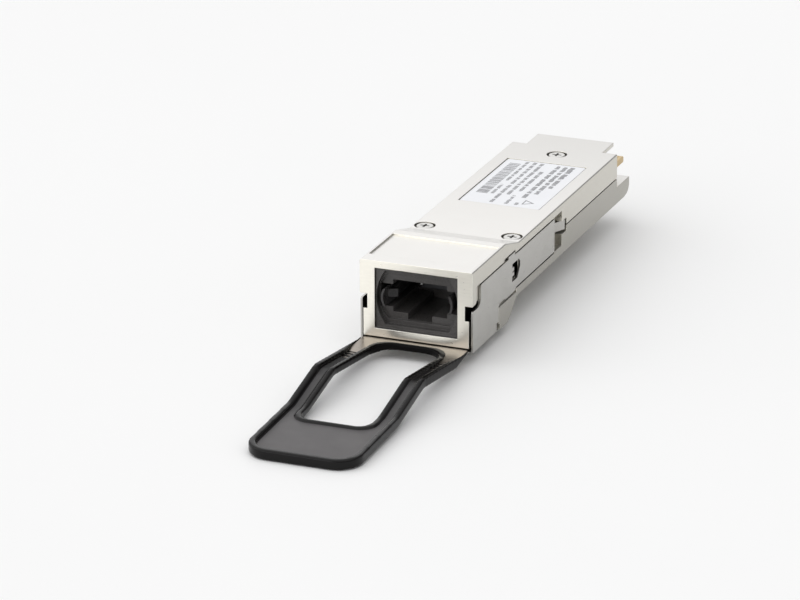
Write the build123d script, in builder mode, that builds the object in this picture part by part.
from build123d import *
import os

# Optical transceiver module with a ribbon-fibre port and a pull-tab release.
# Millimetres. +Y is the direction the module slides into its cage, +Z is the
# label side. Y = 0 is the cage-mouth plane and Z = 0 the underside of the plug-in body.

os.makedirs("parts", exist_ok=True)

# Plug-in body
body_half_width = 9.175
body_height = 8.5
seam_height = 4.25
shell_rear = 46.0
lower_rear = 52.2
rear_ledge_height = 2.8
tongue_rear = 51.5
tongue_half_width = 6.6
tongue_thickness = 0.6
wall_top = 1.1
floor_thickness = 1.1
edge_rounding = 0.25
outside_x = body_half_width + 1

# Nose outside the cage
nose_front = -20.0
nose_top = 10.1
nose_flat_end = -5.8
ramp_end = 0.15
nose_bottom = -3.05
nose_floor_underside = -2.12
nose_floor_end = -8.65
ear_bottom = 4.65
ear_rear = -18.15
nose_panel_half_width = 8.75
nose_panel_front = -17.3
nose_panel_rear = -7.5
panel_depth = 0.25

# Port opening in the nose
port_half_width = 6.75
port_low = -0.8
port_high = 8.95
port_rear = -4.5
ferrule_bay_half_width = 4.2
ferrule_bay_low = 2.2
ferrule_bay_high = 6.2
jamb_outer_x = 7.95
jamb_foot_outer_x = 8.6
jamb_foot_top = 2.25

# Label
label_half_width = 6.7
label_front = 15.55
label_rear = 37.75
label_thickness = 0.12
label_recess_depth = 0.2
label_margin = 0.15

# Screws that hold the two shells together
front_screw_x = 7.25
front_screw_y = 2.1
rear_screw_y = 42.4
screw_head_radius = 1.4
screw_seat_radius = 1.68
screw_seat_height = 7.55
screw_head_top = 8.47
screw_shank_radius = 0.7
screw_hole_radius = 0.72
screw_tip_height = 1.6
screw_boss_radius = 1.9
screw_pillar_radius = 1.6
screw_slot_length = 1.5
screw_slot_width = 0.36
screw_slot_depth = 0.4

# Sheet-metal release slider
sheet = 0.32
travel = 1.65
slide_gap = 0.055
slide_floor = body_half_width - sheet - slide_gap
edge_gap = 0.26
shoulder_gap = 0.42
arm_front = -16.4
arm_top_front = 7.1
arm_top_rear = 7.0
arm_bottom = 1.55
arm_bottom_front = 1.3
arm_rear = 16.2
shoulder_front = -4.4
shoulder_rear = -1.6
shoulder_top = 7.5
shoulder_bottom = 1.1
shoulder_bottom_front = -6.0
skirt_front = -19.7
skirt_rear = -8.8
skirt_top = 3.8
skirt_notch_top = -2.05
skirt_notch_inner_x = 8.2
skirt_notch_length = 0.55
window_front = -2.8
window_rear = 0.7
window_low = 2.9
window_high = 5.8
lug_length = 1.1
lug_slit = 0.16
tang_inner_x = 7.62
tang_low = 3.65
tang_high = 5.05

# Side channel with the return spring, and the pocket for the cage latch
channel_inner_x = 7.45
channel_front = -10.0
channel_rear = 0.4
channel_low = 3.5
channel_high = 5.2
pocket_inner_x = 7.6
pocket_front = 16.3
pocket_rear = 19.6
pocket_low = 1.5
pocket_high = 7.3
ejector_slot_rear = 21.8
ejector_slot_low = 3.3
ejector_slot_high = 5.5
ejector_low = 3.6
ejector_high = 5.2
ejector_end = 21.45

# Circuit board
board_low = 5.26
board_high = 6.26
board_front = 9.0
board_rear = 52.0
board_front_half_width = 6.5
board_middle_half_width = 7.5
board_rear_half_width = 8.2
bay_step_one = 5.5
bay_step_two = 24.5
bay_step_three = 40.5
bay_half_widths = (6.2, 6.8, 7.8, 8.35)
rear_bay_front = 44.0
board_ledge_inner_x = 6.9
board_ledge_outer_x = 7.9
board_ledge_front = 30.0
board_ledge_rear = 36.0
contact_count = 19
contact_pitch = 0.8
contact_width = 0.54
contact_thickness = 0.04
contact_front = 48.3

# Ribbon-fibre receptacle and ferrule
optical_axis_height = 4.2
receptacle_front = -19.6
receptacle_rear = -4.6
receptacle_half_width = 6.7
receptacle_relief_half_width = 6.0
receptacle_relief_front = -8.0
receptacle_relief_low = 7.4
plug_mouth = -18.25
plug_end = -7.6
plug_half_width = 4.4
plug_half_height = 2.6
key_half_width = 1.95
key_low = 0.6
hook_slot_half_height = 1.8
hook_half_height = 1.4
hook_slot_outer_x = 6.4
hook_slot_end = -7.45
heel_socket_front = -7.5
heel_socket_inner_x = 4.85
heel_socket_outer_x = 6.05
hook_bulge = 0.4
hook_pivot_x = 5.3
hook_pivot_y = -6.9
hook_heel_radius = 0.45
hook_thickness = 0.35
hook_tip = -19.7
hook_barb = -16.4
hook_barb_inner_x = 4.15
hook_barb_outer_x = hook_pivot_x + 0.3
hook_barb_half_height = 0.65
ferrule_front = -10.0
ferrule_half_width = 3.2
ferrule_half_height = 1.25
ferrule_flange_front = -4.5
ferrule_flange_rear = -2.5
ferrule_flange_half_width = 3.5
ferrule_flange_half_height = 1.5
ribbon_slot_half_width = 1.6
ribbon_slot_front = -6.6
ribbon_slot_half_height = 0.2
pin_spacing = 4.6
pin_radius = 0.35
pin_middle = -7.0
pin_length = 10.0
keeper_front = -2.48
keeper_rear = -1.7
keeper_half_width = 3.4
keeper_half_height = 1.3

# Pull tab
core_thickness = 0.45
core_low_at_nose = nose_bottom + sheet
core_rear = -10.5
core_start = -20.4
core_front = -62.8
core_half_width = 8.55
core_root_half_width = 8.4
grip_rear = -20.7
grip_front = -66.3
grip_half_width = 8.85
grip_thickness = 1.55
hole_half_width = 5.5
hole_rear = -21.9
hole_front = -53.0
outer_rim_width = 1.0
inner_rim_width = 0.9
rim_step = 0.3
channel_depth = 0.68
core_depth = 0.78
bare_channel_end = -27.0
tab_level_end = -22.0
tab_peak = -38.9
tab_knee = -49.0
mouth_taper_start = -24.0
mouth_taper_end = -29.5
plan_low = -8
plan_high = 4
span = 10


def block(x_low, x_high, y_low, y_high, z_low, z_high, mode=Mode.ADD):
    """Box between two corners, placed in the active part."""
    centre = ((x_low + x_high) / 2, (y_low + y_high) / 2, (z_low + z_high) / 2)
    with Locations(centre):
        Box(x_high - x_low, y_high - y_low, z_high - z_low, mode=mode)


def both_sides(x_inner, x_outer, y_low, y_high, z_low, z_high, mode=Mode.ADD):
    """The same box on the left and on the right."""
    block(x_inner, x_outer, y_low, y_high, z_low, z_high, mode)
    block(-x_outer, -x_inner, y_low, y_high, z_low, z_high, mode)


def side_prism(points, x_low, x_high):
    """Side outline, a list of (Y, Z), extruded across the module."""
    face = Plane.YZ.offset(x_low) * Polygon(*points, align=None)
    return extrude(face, amount=x_high - x_low, dir=(1, 0, 0))


def block_prism(x_low, x_high, y_low, y_high, z_low, z_high):
    """Free-standing box between two corners."""
    outline = [(y_low, z_low), (y_high, z_low), (y_high, z_high), (y_low, z_high)]
    return side_prism(outline, x_low, x_high)


def plan_prism(face, z_low, z_high):
    """Plan outline extruded upwards."""
    return extrude(Plane.XY.offset(z_low) * face, amount=z_high - z_low, dir=(0, 0, 1))


def screw_places():
    """Centres of the three cover screws."""
    return ((front_screw_x, front_screw_y), (-front_screw_x, front_screw_y), (0, rear_screw_y))


# ---------------------------------------------------------------- shared cut-outs

# Recess in the shell sides in which the slider's arms lie and travel
slide_track = [
    (nose_front - 1, ear_bottom),
    (ear_rear - 0.75, ear_bottom),
    (ear_rear - 0.33, ear_bottom + 0.1),
    (ear_rear - 0.1, ear_bottom + 0.33),
    (ear_rear, ear_bottom + 0.75),
    (ear_rear, arm_top_front + edge_gap),
    (shoulder_front - travel - edge_gap, arm_top_front + edge_gap),
    (shoulder_front - travel - edge_gap, shoulder_top + edge_gap),
    (shoulder_rear + edge_gap, shoulder_top + edge_gap),
    (shoulder_rear + edge_gap, arm_top_rear + edge_gap),
    (pocket_front, arm_top_rear + edge_gap),
    (pocket_front, arm_bottom - edge_gap),
    (shoulder_rear + 0.65, arm_bottom - edge_gap),
    (shoulder_rear + 0.65, shoulder_bottom - shoulder_gap),
    (nose_floor_end, shoulder_bottom - shoulder_gap),
    (nose_floor_end, nose_bottom - 1),
    (nose_front - 1, nose_bottom - 1),
]
track_right = side_prism(slide_track, slide_floor, outside_x)
track_left = side_prism(slide_track, -outside_x, -slide_floor)


def cut_side_features():
    """Slider tracks, spring channels and cage-latch pockets, cut from either shell."""
    add(track_right, mode=Mode.SUBTRACT)
    add(track_left, mode=Mode.SUBTRACT)
    both_sides(
        channel_inner_x, outside_x, channel_front, channel_rear, channel_low, channel_high, Mode.SUBTRACT
    )
    both_sides(
        channel_inner_x,
        outside_x,
        window_front + lug_length - travel,
        window_rear - 0.1,
        window_low + 0.1,
        window_high - 0.1,
        Mode.SUBTRACT,
    )
    both_sides(
        pocket_inner_x, outside_x, pocket_front, pocket_rear, pocket_low, pocket_high, Mode.SUBTRACT
    )
    both_sides(
        pocket_inner_x,
        outside_x,
        pocket_rear,
        ejector_slot_rear,
        ejector_slot_low,
        ejector_slot_high,
        Mode.SUBTRACT,
    )
    both_sides(
        pocket_inner_x,
        slide_floor,
        pocket_front - travel - 0.4,
        pocket_front,
        ejector_low - 0.15,
        ejector_high + 0.15,
        Mode.SUBTRACT,
    )


def cut_bays(z_low, z_high, rear_end):
    """Room for the board and the optics, wider towards the rear."""
    steps = (ferrule_flange_rear, bay_step_one, bay_step_two, bay_step_three, rear_end)
    for index, half_width in enumerate(bay_half_widths):
        block(-half_width, half_width, steps[index], steps[index + 1], z_low, z_high, Mode.SUBTRACT)


# ---------------------------------------------------------------- upper shell

top_outline = [
    (nose_front, seam_height),
    (nose_front, nose_top),
    (nose_flat_end, nose_top),
    (ramp_end, body_height),
    (shell_rear, body_height),
    (shell_rear, seam_height),
]
top_solid = side_prism(top_outline, -body_half_width, body_half_width)
seam_step = -12.0
seam_groove = 0.2
seam_groove_depth = 0.7

with BuildPart() as top_housing:
    add(top_solid)
    side_edges = top_housing.edges().filter_by(lambda edge: abs(edge.center().X) > body_half_width - 0.01)
    top_edges = side_edges.filter_by(lambda edge: edge.center().Z > body_height - 0.01)
    fillet(top_edges.filter_by(lambda edge: edge.length > 2), radius=edge_rounding)
    block(
        -tongue_half_width,
        tongue_half_width,
        shell_rear - 0.5,
        tongue_rear,
        body_height - tongue_thickness,
        body_height,
    )
    cut_side_features()
    # Stepped seam: the lower shell stands taller beside the port
    block(
        -body_half_width,
        body_half_width,
        nose_front,
        seam_step,
        seam_height,
        ear_bottom,
        Mode.SUBTRACT,
    )
    # Port opening, ferrule bay and board bays
    block(-port_half_width, port_half_width, nose_front, port_rear, 0, port_high, Mode.SUBTRACT)
    block(
        -ferrule_bay_half_width,
        ferrule_bay_half_width,
        port_rear,
        ferrule_flange_rear,
        ferrule_bay_low,
        ferrule_bay_high,
        Mode.SUBTRACT,
    )
    cut_bays(0, body_height - wall_top, shell_rear + 0.01)
    # Boss that presses on the board around the rear screw
    with Locations((0, rear_screw_y, (board_high + body_height - wall_top) / 2)):
        Cylinder(screw_boss_radius, body_height - wall_top - board_high)
    # Shallow panels on the nose and for the label
    block(
        -nose_panel_half_width,
        nose_panel_half_width,
        nose_panel_front,
        nose_panel_rear,
        nose_top - panel_depth,
        nose_top + 1,
        Mode.SUBTRACT,
    )
    block(
        -label_half_width - label_margin,
        label_half_width + label_margin,
        label_front - label_margin,
        label_rear + label_margin,
        body_height - label_recess_depth,
        body_height + 1,
        Mode.SUBTRACT,
    )
    # Screw seats and clearance holes
    for place in screw_places():
        with Locations((place[0], place[1], screw_seat_height + 1)):
            Cylinder(screw_seat_radius, 2, mode=Mode.SUBTRACT)
        with Locations((place[0], place[1], body_height / 2 + 2)):
            Cylinder(screw_shank_radius + 0.1, body_height, mode=Mode.SUBTRACT)
    # Fine groove that shows as the seam on both sides
    both_sides(
        body_half_width - seam_groove_depth,
        outside_x,
        ejector_slot_rear,
        shell_rear + 1,
        seam_height - 1,
        seam_height + seam_groove,
        Mode.SUBTRACT,
    )

# ---------------------------------------------------------------- lower shell

bottom_outline = [
    (nose_front, ear_bottom),
    (seam_step, ear_bottom),
    (seam_step, seam_height),
    (shell_rear, seam_height),
    (shell_rear, rear_ledge_height),
    (lower_rear, rear_ledge_height),
    (lower_rear, 1.35),
    (lower_rear - 0.45, 0.62),
    (lower_rear - 1.3, 0.18),
    (lower_rear - 2.55, 0),
    (-0.7, 0),
    (-1.9, -0.92),
    (-3.1, -1.9),
    (-4.1, -2.62),
    (-5.2, nose_bottom),
    (nose_floor_end, nose_bottom),
    (nose_floor_end, nose_floor_underside),
    (nose_front, nose_floor_underside),
]
bottom_solid = side_prism(bottom_outline, -body_half_width, body_half_width)

with BuildPart() as bottom_housing:
    add(bottom_solid)
    cut_side_features()
    # Port opening
    block(
        -port_half_width,
        port_half_width,
        nose_front,
        port_rear,
        port_low,
        ear_bottom + 1,
        Mode.SUBTRACT,
    )
    # Jambs beside the port, cut back under the ears
    jamb_rear = arm_front - 0.1
    both_sides(jamb_outer_x, outside_x, nose_front, jamb_rear, jamb_foot_top, ear_bottom + 1, Mode.SUBTRACT)
    both_sides(
        jamb_foot_outer_x,
        outside_x,
        nose_front,
        jamb_rear,
        nose_floor_underside,
        jamb_foot_top + 0.01,
        Mode.SUBTRACT,
    )
    # Relief notches at the rear of the slider's skirt
    both_sides(
        skirt_notch_inner_x,
        outside_x,
        nose_floor_end - 0.1,
        nose_floor_end + skirt_notch_length,
        nose_bottom - 1,
        skirt_notch_top,
        Mode.SUBTRACT,
    )
    # Ferrule bay and board bays
    block(
        -ferrule_bay_half_width,
        ferrule_bay_half_width,
        port_rear,
        ferrule_flange_rear,
        ferrule_bay_low,
        ferrule_bay_high,
        Mode.SUBTRACT,
    )
    cut_bays(floor_thickness, body_height, rear_bay_front)
    block(
        -bay_half_widths[-1],
        bay_half_widths[-1],
        rear_bay_front - 0.1,
        lower_rear,
        rear_ledge_height,
        body_height,
        Mode.SUBTRACT,
    )
    # Pillar under the rear screw and ledges under the board
    with Locations((0, rear_screw_y, (floor_thickness - 0.1 + board_low) / 2)):
        Cylinder(screw_pillar_radius, board_low - floor_thickness + 0.1)
    both_sides(
        board_ledge_inner_x,
        board_ledge_outer_x,
        board_ledge_front,
        board_ledge_rear,
        floor_thickness - 0.1,
        seam_height,
    )
    # Screw threads
    for place in screw_places():
        with Locations((place[0], place[1], (screw_tip_height - 0.3 + body_height) / 2)):
            Cylinder(screw_hole_radius, body_height - screw_tip_height + 0.3, mode=Mode.SUBTRACT)

# ---------------------------------------------------------------- screws and label

with BuildPart() as housing_screws:
    for place in screw_places():
        with Locations((place[0], place[1], (screw_seat_height + screw_head_top) / 2)):
            Cylinder(screw_head_radius, screw_head_top - screw_seat_height)
    head_edges = housing_screws.edges().filter_by(GeomType.CIRCLE).group_by(Axis.Z)[-1]
    fillet(head_edges, radius=0.22)
    for place in screw_places():
        with Locations((place[0], place[1], (screw_tip_height + screw_seat_height) / 2)):
            Cylinder(screw_shank_radius, screw_seat_height - screw_tip_height)
        for turn in (0, 90):
            with Locations(Location((place[0], place[1], screw_head_top), (0, 0, turn))):
                Box(screw_slot_length, screw_slot_width, 2 * screw_slot_depth, mode=Mode.SUBTRACT)

with BuildPart() as label:
    block(
        -label_half_width,
        label_half_width,
        label_front,
        label_rear,
        body_height - label_recess_depth,
        body_height - label_recess_depth + label_thickness,
    )
    fillet(label.edges().filter_by(Axis.Z), radius=0.5)

# ---------------------------------------------------------------- fibre receptacle

funnel_bulge = 6.6


def funnel_face(half_width, half_height):
    """Front outline of the funnel: flat above and below, bowed at the sides."""
    low = optical_axis_height - half_height
    high = optical_axis_height + half_height
    outline = (
        Line((-half_width, low), (half_width, low))
        + ThreePointArc((half_width, low), (funnel_bulge, optical_axis_height), (half_width, high))
        + Line((half_width, high), (-half_width, high))
        + ThreePointArc((-half_width, high), (-funnel_bulge, optical_axis_height), (-half_width, low))
    )
    return make_face(outline)


funnel_step = -18.65
outer_funnel = extrude(Plane.XZ.offset(-funnel_step) * funnel_face(5.15, 4.35), amount=3, dir=(0, -1, 0))
inner_funnel = extrude(Plane.XZ.offset(-plug_mouth) * funnel_face(5.0, 3.65), amount=3, dir=(0, -1, 0))
plug_low = optical_axis_height - plug_half_height
plug_high = optical_axis_height + plug_half_height
plug_ceiling_step = 0.45

with BuildPart() as mpo_receptacle:
    block(
        -receptacle_half_width,
        receptacle_half_width,
        receptacle_front,
        receptacle_rear,
        port_low + 0.05,
        port_high - 0.05,
    )
    add(outer_funnel, mode=Mode.SUBTRACT)
    add(inner_funnel, mode=Mode.SUBTRACT)
    block(
        -plug_half_width,
        plug_half_width,
        plug_mouth - 1,
        plug_end,
        plug_low,
        plug_high - plug_ceiling_step,
        Mode.SUBTRACT,
    )
    block(
        -plug_half_width,
        plug_half_width,
        plug_mouth - 1,
        plug_mouth + 1.6,
        plug_low,
        plug_high,
        Mode.SUBTRACT,
    )
    block(-key_half_width, key_half_width, plug_mouth - 1, plug_end, key_low, plug_low + 0.1, Mode.SUBTRACT)
    both_sides(
        plug_half_width - 0.1,
        hook_slot_outer_x,
        plug_mouth - 1,
        hook_slot_end,
        optical_axis_height - hook_slot_half_height,
        optical_axis_height + hook_slot_half_height,
        Mode.SUBTRACT,
    )
    # Round sockets that hold the heels of the latch hooks
    both_sides(
        heel_socket_inner_x,
        heel_socket_outer_x,
        heel_socket_front,
        hook_pivot_y,
        optical_axis_height - hook_slot_half_height,
        optical_axis_height + hook_slot_half_height,
        Mode.SUBTRACT,
    )
    for side in (-1, 1):
        with Locations((side * hook_pivot_x, hook_pivot_y, optical_axis_height)):
            Cylinder(hook_heel_radius + 0.05, 2 * hook_slot_half_height, mode=Mode.SUBTRACT)
    # Window for the ferrule
    block(
        -ferrule_half_width - 0.05,
        ferrule_half_width + 0.05,
        plug_end - 0.1,
        receptacle_rear,
        optical_axis_height - ferrule_half_height - 0.05,
        optical_axis_height + ferrule_half_height + 0.05,
        Mode.SUBTRACT,
    )
    block(
        -receptacle_relief_half_width,
        receptacle_relief_half_width,
        receptacle_relief_front,
        receptacle_rear,
        receptacle_relief_low,
        port_high,
        Mode.SUBTRACT,
    )


def hook_blade(side):
    """One latch hook: a plate curved round the plug, with a barb on its inner side."""
    middle = side * (hook_pivot_x - hook_bulge / 2)
    crown = side * (hook_pivot_x + hook_bulge / 2)
    low = optical_axis_height - hook_half_height
    high = optical_axis_height + hook_half_height
    wall = side * hook_thickness
    outline = (
        ThreePointArc((middle, low), (crown, optical_axis_height), (middle, high))
        + Line((middle, high), (middle + wall, high))
        + ThreePointArc((middle + wall, high), (crown + wall, optical_axis_height), (middle + wall, low))
        + Line((middle + wall, low), (middle, low))
    )
    plate = extrude(
        Plane.XZ.offset(-hook_pivot_y) * make_face(outline), amount=hook_pivot_y - hook_tip, dir=(0, -1, 0)
    )
    barb_face = Polygon(
        (side * hook_barb_outer_x, hook_barb),
        (side * hook_barb_inner_x, hook_barb - 0.2),
        (side * hook_barb_inner_x, hook_barb - 0.5),
        (side * hook_barb_outer_x, hook_barb - 1.3),
        align=None,
    )
    barb_top = optical_axis_height + hook_barb_half_height
    barb = plan_prism(barb_face, optical_axis_height - hook_barb_half_height, barb_top)
    return plate + barb


hook_right_blade = hook_blade(1)
hook_left_blade = hook_blade(-1)

with BuildPart() as latch_hook_right:
    add(hook_right_blade)
    with Locations((hook_pivot_x, hook_pivot_y, optical_axis_height)):
        Cylinder(hook_heel_radius, 2 * hook_half_height)

with BuildPart() as latch_hook_left:
    add(hook_left_blade)
    with Locations((-hook_pivot_x, hook_pivot_y, optical_axis_height)):
        Cylinder(hook_heel_radius, 2 * hook_half_height)

with BuildPart() as mt_ferrule:
    block(
        -ferrule_half_width,
        ferrule_half_width,
        ferrule_front,
        ferrule_flange_rear,
        optical_axis_height - ferrule_half_height,
        optical_axis_height + ferrule_half_height,
    )
    block(
        -ferrule_flange_half_width,
        ferrule_flange_half_width,
        ferrule_flange_front,
        ferrule_flange_rear,
        optical_axis_height - ferrule_flange_half_height,
        optical_axis_height + ferrule_flange_half_height,
    )
    block(
        -ribbon_slot_half_width,
        ribbon_slot_half_width,
        ribbon_slot_front,
        ferrule_flange_rear,
        optical_axis_height - ribbon_slot_half_height,
        optical_axis_height + ribbon_slot_half_height,
        Mode.SUBTRACT,
    )
    for side in (-1, 1):
        with Locations(Location((side * pin_spacing / 2, -6, optical_axis_height), (90, 0, 0))):
            Cylinder(pin_radius + 0.01, 20, mode=Mode.SUBTRACT)

with BuildPart() as guide_pins:
    for side in (-1, 1):
        with Locations(Location((side * pin_spacing / 2, pin_middle, optical_axis_height), (90, 0, 0))):
            Cylinder(pin_radius, pin_length)
    chamfer(guide_pins.edges().filter_by(GeomType.CIRCLE).group_by(Axis.Y)[0], length=0.15)

with BuildPart() as pin_keeper:
    block(
        -keeper_half_width,
        keeper_half_width,
        keeper_front,
        keeper_rear,
        optical_axis_height - keeper_half_height,
        optical_axis_height + keeper_half_height,
    )
    block(-1.75, 1.75, -3, -1, optical_axis_height - 0.5, optical_axis_height + 0.5, Mode.SUBTRACT)
    for side in (-1, 1):
        with Locations(Location((side * pin_spacing / 2, -2.4, optical_axis_height), (90, 0, 0))):
            Cylinder(pin_radius + 0.01, 0.85, mode=Mode.SUBTRACT)

with BuildPart() as emi_gasket:
    block(-6.15, 6.15, -1.3, 0.3, floor_thickness, body_height - wall_top)
    block(-1.9, 1.9, -2, 1, optical_axis_height - 0.6, optical_axis_height + 0.6, Mode.SUBTRACT)

# ---------------------------------------------------------------- optical engine

ribbon_half_thickness = 0.15
ribbon_drop = 0.5
ribbon_bend_start = 0.6
ribbon_bend_end = 8.4
lens_front = 10.5


def ribbon_height(y):
    """Height of the ribbon's centre: level, a gentle S-bend, level again."""
    share = min(max((y - ribbon_bend_start) / (ribbon_bend_end - ribbon_bend_start), 0), 1)
    return optical_axis_height - ribbon_drop * share * share * (3 - 2 * share)


ribbon_stations = [-6.5, 0.6] + [ribbon_bend_start + 0.65 * step for step in range(1, 13)] + [lens_front]
ribbon_outline = [(y, ribbon_height(y) + ribbon_half_thickness) for y in ribbon_stations]
ribbon_outline += [(y, ribbon_height(y) - ribbon_half_thickness) for y in reversed(ribbon_stations)]
ribbon_solid = side_prism(ribbon_outline, -1.5, 1.5)

with BuildPart() as fibre_ribbon:
    add(ribbon_solid)

engine_low = 4.86

with BuildPart() as optics_submount:
    block(-3.6, 3.6, 10.2, 18.0, engine_low, board_low)

with BuildPart() as lens_block:
    block(-3.0, 3.0, lens_front, 15.5, 2.6, engine_low)
    block(-2.6, 2.6, 12.2, 15.1, 4.2, engine_low + 1, Mode.SUBTRACT)
    chamfer(lens_block.edges().filter_by(Axis.X).group_by(Axis.Z)[0].sort_by(Axis.Y)[-1], length=1.2)

with BuildPart() as vcsel_array:
    block(-1.7, -0.7, 13.0, 13.35, engine_low - 0.2, engine_low)

with BuildPart() as photodiode_array:
    block(0.7, 1.7, 13.0, 13.35, engine_low - 0.2, engine_low)

with BuildPart() as laser_driver:
    block(-3.0, -0.4, 15.8, 17.5, engine_low - 0.3, engine_low)

with BuildPart() as receiver_amplifier:
    block(0.4, 3.0, 15.8, 17.5, engine_low - 0.3, engine_low)

# ---------------------------------------------------------------- circuit board

with BuildPart() as circuit_board:
    block(
        -board_front_half_width,
        board_front_half_width,
        board_front,
        board_rear,
        board_low,
        board_high,
    )
    block(
        -board_middle_half_width,
        board_middle_half_width,
        bay_step_two + 0.5,
        board_rear,
        board_low,
        board_high,
    )
    block(
        -board_rear_half_width,
        board_rear_half_width,
        bay_step_three + 0.5,
        board_rear,
        board_low,
        board_high,
    )
    chamfer(circuit_board.edges().filter_by(Axis.X).group_by(Axis.Y)[-1], length=0.2)
    with Locations((0, rear_screw_y, board_low + 0.5)):
        Cylinder(screw_shank_radius + 0.2, 2, mode=Mode.SUBTRACT)


def lay_contacts(z_low, z_high, long_every):
    """Row of edge contacts; ground and power fingers reach further to the rear."""
    for index in range(contact_count):
        x_centre = (index - (contact_count - 1) / 2) * contact_pitch
        rear = board_rear - 0.35 if index % long_every == 0 else board_rear - 0.75
        block(
            x_centre - contact_width / 2,
            x_centre + contact_width / 2,
            contact_front,
            rear,
            z_low,
            z_high,
        )


with BuildPart() as contacts_top:
    lay_contacts(board_high, board_high + contact_thickness, 3)

with BuildPart() as contacts_bottom:
    lay_contacts(board_low - contact_thickness, board_low, 3)

with BuildPart() as microcontroller:
    block(-5.3, -0.3, 27.0, 32.0, board_low - 0.9, board_low)

with BuildPart() as power_inductors:
    for y_centre in (28.0, 32.5):
        block(1.8, 4.8, y_centre - 1.5, y_centre + 1.5, board_low - 1.4, board_low)

with BuildPart() as capacitors:
    for y_centre in (22.5, 26.0, 29.5, 33.0, 36.5):
        for x_centre in (-4.5, 4.5):
            block(
                x_centre - 0.5,
                x_centre + 0.5,
                y_centre - 0.25,
                y_centre + 0.25,
                board_high,
                board_high + 0.5,
            )

with BuildPart() as thermal_pad:
    block(-4.0, 4.0, 10.5, 19.5, board_high, body_height - wall_top)

# ---------------------------------------------------------------- release slider

skirt_corner = 0.6
arm_outline = [
    (skirt_front, nose_bottom),
    (skirt_front, skirt_top - 0.2),
    (skirt_front + 0.2, skirt_top),
    (arm_front - 1.0, skirt_top),
    (arm_front - 0.3, skirt_top + 0.3),
    (arm_front, skirt_top + 1.0),
    (arm_front, arm_top_front - 0.5),
    (arm_front + 0.15, arm_top_front - 0.15),
    (arm_front + 0.5, arm_top_front),
    (shoulder_front, arm_top_front),
    (shoulder_front, shoulder_top),
    (shoulder_rear, shoulder_top),
    (shoulder_rear, arm_top_rear),
    (arm_rear, arm_top_rear),
    (arm_rear, arm_bottom),
    (shoulder_rear + 0.5, arm_bottom),
    (shoulder_rear, shoulder_bottom),
    (shoulder_bottom_front, shoulder_bottom),
    (shoulder_bottom_front, arm_bottom_front),
    (skirt_rear + skirt_corner, arm_bottom_front),
    (skirt_rear, arm_bottom_front - skirt_corner),
    (skirt_rear, nose_bottom + 1.45),
    (skirt_rear - 0.75, nose_bottom + 1.45),
    (skirt_rear - 0.75, nose_bottom),
]
arm_right = side_prism(arm_outline, body_half_width - sheet, body_half_width)
arm_left = side_prism(arm_outline, -body_half_width, -body_half_width + sheet)
window_outline = [
    (window_front, window_low),
    (window_front, window_high),
    (window_rear - 0.6, window_high),
    (window_rear, window_high - 0.6),
    (window_rear, window_low + 1.6),
    (window_rear - 1.2, window_low),
]
window_cut = side_prism(window_outline, -outside_x, outside_x)


def ejector_face(side):
    """Plan outline of the strip that dives into the latch pocket and curls out."""
    outer = body_half_width
    inner = body_half_width - sheet
    points = [
        (side * outer, arm_rear - 0.3),
        (side * outer, arm_rear),
        (side * 8.05, arm_rear + 1.15),
        (side * 8.05, arm_rear + 3.0),
        (side * 8.98, ejector_end),
        (side * 8.68, ejector_end),
        (side * 7.73, arm_rear + 3.1),
        (side * 7.73, arm_rear + 1.0),
        (side * inner, arm_rear - 0.3),
    ]
    return Polygon(*points, align=None)


ejector_right = plan_prism(ejector_face(1), ejector_low, ejector_high)
ejector_left = plan_prism(ejector_face(-1), ejector_low, ejector_high)
rivet_x = 4.6
rivet_y = -14.2
rivet_radius = 0.8

with BuildPart() as release_slider:
    add(arm_right)
    add(arm_left)
    block(
        -body_half_width,
        body_half_width,
        skirt_front,
        skirt_rear,
        nose_bottom,
        nose_bottom + sheet,
    )
    lower_edges = release_slider.edges().filter_by(Axis.Y).group_by(Axis.Z)[0]
    corner_edges = lower_edges.filter_by(lambda edge: abs(edge.center().X) > body_half_width - 0.01)
    fillet(corner_edges, radius=0.3)
    add(window_cut, mode=Mode.SUBTRACT)
    # Tangs that press on the return springs
    both_sides(
        tang_inner_x,
        body_half_width - 0.1,
        window_front - sheet,
        window_front,
        tang_low,
        tang_high,
    )
    # Pairs of lugs bent in from the front edge of the windows
    lug_middle = (tang_low + tang_high) / 2
    for lug_low, lug_high in ((tang_low, lug_middle - lug_slit / 2), (lug_middle + lug_slit / 2, tang_high)):
        both_sides(
            body_half_width - sheet - 0.1,
            body_half_width - 0.12,
            window_front - 0.2,
            window_front + lug_length,
            lug_low,
            lug_high,
        )
    add(ejector_right)
    add(ejector_left)
    for side in (-1, 1):
        with Locations((side * rivet_x, rivet_y, nose_bottom)):
            Cylinder(rivet_radius + 0.01, 2, mode=Mode.SUBTRACT)

# ---------------------------------------------------------------- return springs

spring_axis_x = 8.12
spring_axis_z = 4.35
spring_radius = 0.48
wire_radius = 0.12
spring_front = channel_front + wire_radius + 0.02
spring_length = window_front - sheet - 0.02 - wire_radius - spring_front
spring_turns = 9


def coil(side):
    """One helical return spring in its side channel."""
    start = (side * spring_axis_x, spring_front, spring_axis_z)
    path = Helix(
        pitch=spring_length / spring_turns,
        height=spring_length,
        radius=spring_radius,
        center=start,
        direction=(0, 1, 0),
    )
    wire_plane = Plane(origin=path @ 0, z_dir=path % 0)
    return sweep(wire_plane * Circle(wire_radius), path=path)


spring_right_solid = coil(1)
spring_left_solid = coil(-1)

with BuildPart() as return_spring_right:
    add(spring_right_solid)

with BuildPart() as return_spring_left:
    add(spring_left_solid)

# ---------------------------------------------------------------- pull tab

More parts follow.
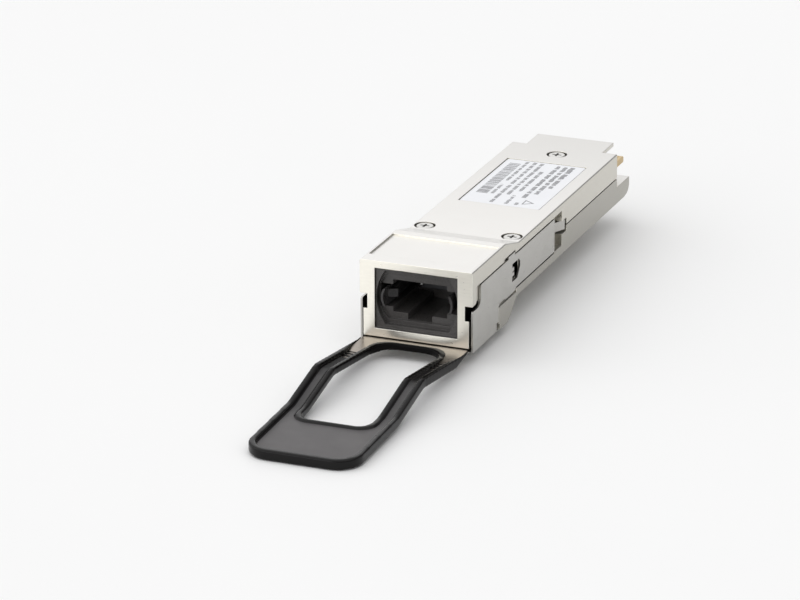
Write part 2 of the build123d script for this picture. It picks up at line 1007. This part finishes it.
rim_at_nose = -2.15
rim_at_peak = -0.08
rim_at_knee = -2.45
rim_at_front = -3.12
rise_slope = (rim_at_peak - rim_at_nose) / (tab_level_end - tab_peak)
core_middle = core_low_at_nose + core_thickness / 2
core_below_rim = core_depth + core_thickness / 2
# Where the level root of the core meets its slope, which runs parallel to the rims
core_level_end = tab_level_end - (core_middle - rim_at_nose + core_below_rim) / rise_slope
inner_level_end = tab_level_end - rim_step / rise_slope
bend_radii = (8, 5, 8)
tab_front = grip_front - 0.1

# Side views, from the nose to the front end: (Y, height)
rim_profile = [
    (nose_front, rim_at_nose),
    (tab_level_end, rim_at_nose),
    (tab_peak, rim_at_peak),
    (tab_knee, rim_at_knee),
    (tab_front, rim_at_front),
]
inner_rim_profile = [(nose_front, rim_at_nose), (inner_level_end, rim_at_nose)]
inner_rim_profile += [(y, z - rim_step) for y, z in rim_profile[2:]]
core_profile = [(core_start, core_middle), (core_level_end, core_middle)]
core_profile += [(y, z - core_below_rim) for y, z in rim_profile[2:]]


def side_band(profile, offset_high, offset_low):
    """Solid between two copies of a side-view line with rounded bends, across the tab."""
    upper = FilletPolyline(*[(y, z + offset_high) for y, z in profile], radius=bend_radii)
    lower = FilletPolyline(*[(y, z + offset_low) for y, z in profile], radius=bend_radii)
    front = Line(upper @ 1, lower @ 1)
    rear = Line(lower @ 0, upper @ 0)
    face = Plane.YZ.offset(-span) * make_face(upper + front + lower + rear)
    return extrude(face, amount=2 * span, dir=(1, 0, 0))


def rounded_plan(half_width, y_rear, y_front, rear_radius, front_radius):
    """Plan outline of the tab or of its hole."""
    outline = Polygon(
        (-half_width, y_front),
        (half_width, y_front),
        (half_width, y_rear),
        (-half_width, y_rear),
        align=None,
    )
    if rear_radius > 0:
        outline = fillet(outline.vertices().group_by(Axis.Y)[-1], rear_radius)
    outline = fillet(outline.vertices().filter_by(lambda v: abs(v.Y - y_front) < 0.01), front_radius)
    return plan_prism(outline, plan_low, plan_high)


grip_plan = rounded_plan(grip_half_width, grip_rear, grip_front, 0, 3.8)
hole_plan = rounded_plan(hole_half_width, hole_rear, hole_front, 3.4, 2.0)
inner_rim_plan = rounded_plan(
    hole_half_width + inner_rim_width,
    hole_rear + inner_rim_width,
    hole_front - inner_rim_width,
    3.4,
    2.6,
)
grip_channel_front = grip_front + outer_rim_width + 0.15
channel_plan = rounded_plan(grip_half_width - outer_rim_width, nose_front + 1, grip_channel_front, 0, 2.8)
# Near the nose the channel widens until only a thin lip stands outside the metal
mouth_half_width = core_half_width + 0.02
channel_mouth = Polygon(
    (-mouth_half_width, nose_front + 1),
    (mouth_half_width, nose_front + 1),
    (mouth_half_width, mouth_taper_start),
    (grip_half_width - outer_rim_width, mouth_taper_end),
    (outer_rim_width - grip_half_width, mouth_taper_end),
    (-mouth_half_width, mouth_taper_start),
    align=None,
)
channel_plan = channel_plan + plan_prism(channel_mouth, plan_low, plan_high)
bare_plan = channel_plan & block_prism(-span, span, bare_channel_end, nose_front + 2, plan_low, plan_high)
core_plan = rounded_plan(core_half_width, core_start, core_front, 0, 3.4)
core_hole_plan = rounded_plan(hole_half_width + 0.4, hole_rear + 0.4, hole_front - 0.6, 3.4, 2.2)
core_band = side_band(core_profile, core_thickness / 2, -core_thickness / 2)
core_root = block_prism(
    -core_root_half_width,
    core_root_half_width,
    core_start,
    core_rear,
    core_low_at_nose,
    core_low_at_nose + core_thickness,
)
core_solid = (core_band & core_plan) + core_root - core_hole_plan
rim_band = side_band(rim_profile, 0, -grip_thickness)
root_keep_outline = [(nose_front, 0), (nose_front, -3.0), (-27.5, -3.9), (-27.5, 0)]
root_keep = inner_rim_plan & side_prism(root_keep_outline, -span, span)
above_channel = side_band(rim_profile, 6, -channel_depth)
above_core = side_band(core_profile, 6, core_thickness / 2)
above_inner_rim = side_band(inner_rim_profile, 6, 0)
# The overmould's underside rises to nothing at the nose
root_taper_outline = [(nose_front, -2.35), (nose_front, -6), (-27.5, -6), (-25.7, -3.28)]
root_taper = side_prism(root_taper_outline, -span, span)
grip_solid = (rim_band & grip_plan) - (root_taper - root_keep) - hole_plan
grip_solid = grip_solid - (above_channel & (channel_plan - inner_rim_plan))
grip_solid = grip_solid - (above_core & (bare_plan - inner_rim_plan))
grip_solid = grip_solid - (above_inner_rim & inner_rim_plan)
grip_solid = grip_solid - core_solid

with BuildPart() as pull_tab_core:
    add(core_solid)
    for side in (-1, 1):
        with Locations((side * rivet_x, rivet_y, nose_bottom)):
            Cylinder(rivet_radius + 0.01, 4, mode=Mode.SUBTRACT)

with BuildPart() as pull_tab_grip:
    add(grip_solid)

with BuildPart() as tab_rivets:
    for side in (-1, 1):
        with Locations((side * rivet_x, rivet_y, nose_bottom + (sheet + core_thickness) / 2)):
            Cylinder(rivet_radius, sheet + core_thickness)

# ---------------------------------------------------------------- export

sub_parts = {
    "top_housing": top_housing,
    "bottom_housing": bottom_housing,
    "housing_screws": housing_screws,
    "label": label,
    "mpo_receptacle": mpo_receptacle,
    "latch_hook_left": latch_hook_left,
    "latch_hook_right": latch_hook_right,
    "mt_ferrule": mt_ferrule,
    "guide_pins": guide_pins,
    "pin_keeper": pin_keeper,
    "emi_gasket": emi_gasket,
    "fibre_ribbon": fibre_ribbon,
    "optics_submount": optics_submount,
    "lens_block": lens_block,
    "vcsel_array": vcsel_array,
    "photodiode_array": photodiode_array,
    "laser_driver": laser_driver,
    "receiver_amplifier": receiver_amplifier,
    "circuit_board": circuit_board,
    "contacts_top": contacts_top,
    "contacts_bottom": contacts_bottom,
    "microcontroller": microcontroller,
    "power_inductors": power_inductors,
    "capacitors": capacitors,
    "thermal_pad": thermal_pad,
    "return_spring_left": return_spring_left,
    "return_spring_right": return_spring_right,
    "release_slider": release_slider,
    "tab_rivets": tab_rivets,
    "pull_tab_core": pull_tab_core,
    "pull_tab_grip": pull_tab_grip,
}
for name, builder in sub_parts.items():
    builder.part.label = name
    export_step(builder.part, f"parts/{name}.step")
